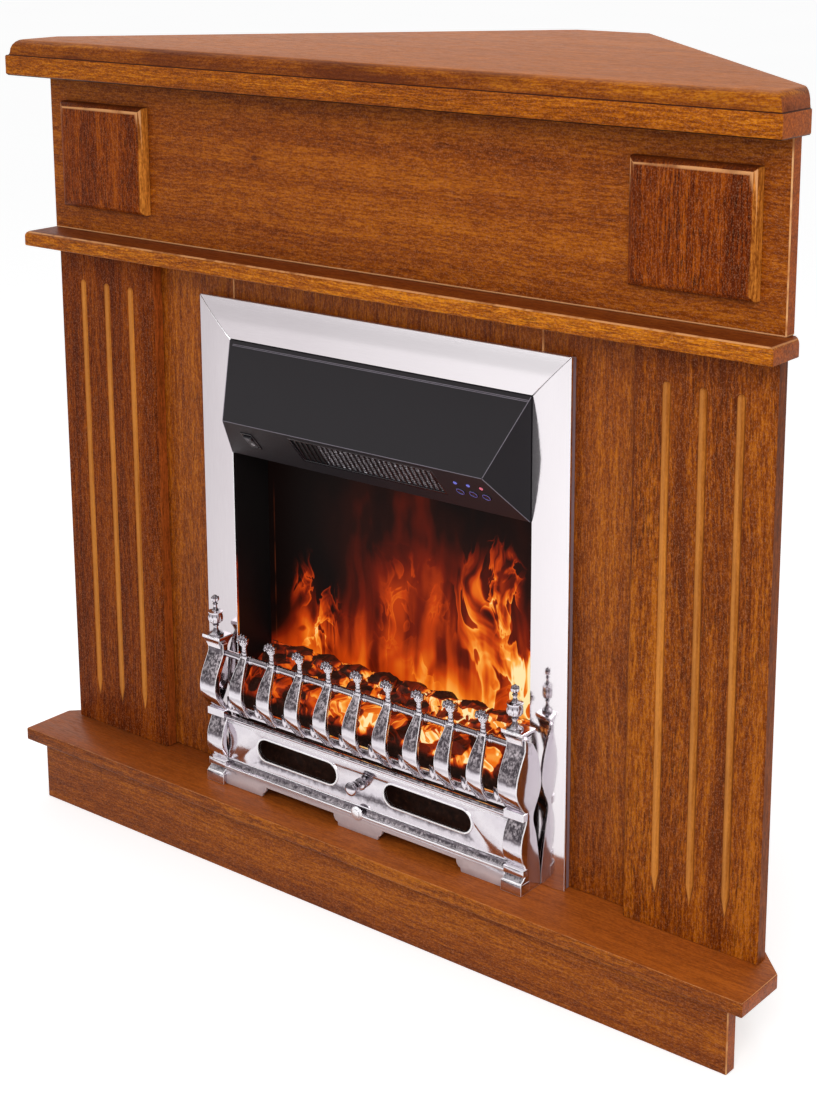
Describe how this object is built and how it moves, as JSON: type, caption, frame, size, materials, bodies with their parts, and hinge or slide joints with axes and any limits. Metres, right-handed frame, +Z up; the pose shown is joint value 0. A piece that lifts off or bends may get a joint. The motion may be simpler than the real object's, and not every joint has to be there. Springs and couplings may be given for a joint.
{
  "type": "corner electric fireplace",
  "caption": "Corner fireplace: a walnut-veneered corner surround with fluted pilasters and a mantel, holding an inset electric fire with a chrome fret, coal bed and heater hood.",
  "frame": {"origin": "middle of the bounding box, on the floor", "axes": "+X along the front to the right as seen from the room, +Y from the room towards the corner of the walls, +Z up"},
  "size_m": [1.036, 0.5346, 0.96],
  "materials": {
    "veneer": "satin",
    "veneer_dark": "satin",
    "chipboard": "rough",
    "satin_trim": "satin",
    "grey_paint": "satin",
    "black_steel": "matt",
    "black_plastic": "satin",
    "indicator_lens": "gloss",
    "circuit_board": "matt",
    "galvanised": "satin",
    "smoked_screen": "gloss",
    "ember_resin": "matt",
    "chrome": "polished"
  },
  "bodies": {
    "surround": {"mantel_shelf": "veneer", "frieze_board": "veneer", "rosette_left": "veneer_dark", "rosette_right": "veneer_dark", "mid_shelf": "veneer", "pilaster_left": "veneer_dark", "pilaster_right": "veneer_dark", "stile_left": "veneer", "stile_right": "veneer", "top_rail": "veneer", "hearth_board": "veneer", "plinth_front": "veneer", "plinth_rail_left": "chipboard", "plinth_rail_right": "chipboard", "side_panel_left": "veneer", "side_panel_right": "veneer", "rear_post": "chipboard", "fire_case": "black_steel", "spacer_frame": "grey_paint", "trim_left": "satin_trim", "trim_right": "satin_trim", "trim_top": "satin_trim", "outlet_grille": "black_plastic", "indicator_strip": "indicator_lens", "control_board": "circuit_board", "hood_cover": "black_plastic", "fan_cradle": "galvanised", "fan_motor": "galvanised", "heater_element": "galvanised", "flame_screen": "smoked_screen", "spindle_cradle": "galvanised", "spindle_motor": "galvanised", "led_board": "circuit_board", "fuel_bed": "ember_resin", "cable_gland": "black_plastic"},
    "fret": {"fret_end_left": "chrome", "fret_end_right": "chrome", "finial_left": "chrome", "finial_right": "chrome", "fret_top_rail": "chrome", "fret_lower_rail": "chrome", "fret_bar_1": "chrome", "fret_bar_2": "chrome", "fret_bar_3": "chrome", "fret_bar_4": "chrome", "fret_bar_5": "chrome", "fret_bar_6": "chrome", "fret_bar_7": "chrome", "fret_bar_8": "chrome", "fret_bar_9": "chrome"},
    "ash_pan_cover": {"ash_pan_cover": "chrome", "ash_pan_knob": "chrome"},
    "rocker_switch": {"rocker_switch": "black_plastic"},
    "button_1": {"button_1": "black_plastic"},
    "button_2": {"button_2": "black_plastic"},
    "button_3": {"button_3": "black_plastic"},
    "flame_spindle": {"flame_spindle": "galvanised"},
    "heater_fan": {"heater_fan": "black_steel"}
  },
  "joints": [
    {"name": "fret_lift_off", "type": "slide", "parent": "surround", "child": "fret", "axis": [0, -1, 0], "range_m": [0, 0.06]},
    {"name": "ash_pan_cover_lift_off", "type": "slide", "parent": "fret", "child": "ash_pan_cover", "axis": [0, -1, 0], "range_m": [0, 0.04]},
    {"name": "rocker_tilt", "type": "hinge", "parent": "surround", "child": "rocker_switch", "pos_m": [-0.1582, -0.21594, 0.52568], "axis": [1, 0, 0], "range_deg": [-10, 0]},
    {"name": "button_1_press", "type": "slide", "parent": "surround", "child": "button_1", "axis": [0, 0.7562, 0.6544], "range_m": [0, 0.0015], "stiffness_N_per_m": 500},
    {"name": "button_2_press", "type": "slide", "parent": "surround", "child": "button_2", "axis": [0, 0.7562, 0.6544], "range_m": [0, 0.0015], "stiffness_N_per_m": 500},
    {"name": "button_3_press", "type": "slide", "parent": "surround", "child": "button_3", "axis": [0, 0.7562, 0.6544], "range_m": [0, 0.0015], "stiffness_N_per_m": 500},
    {"name": "flame_spindle_turn", "type": "hinge", "parent": "surround", "child": "flame_spindle", "pos_m": [0, -0.09925, 0.1563], "axis": [1, 0, 0], "continuous": true},
    {"name": "heater_fan_turn", "type": "hinge", "parent": "surround", "child": "heater_fan", "pos_m": [0, -0.18325, 0.5827], "axis": [1, 0, 0], "continuous": true}
  ]
}
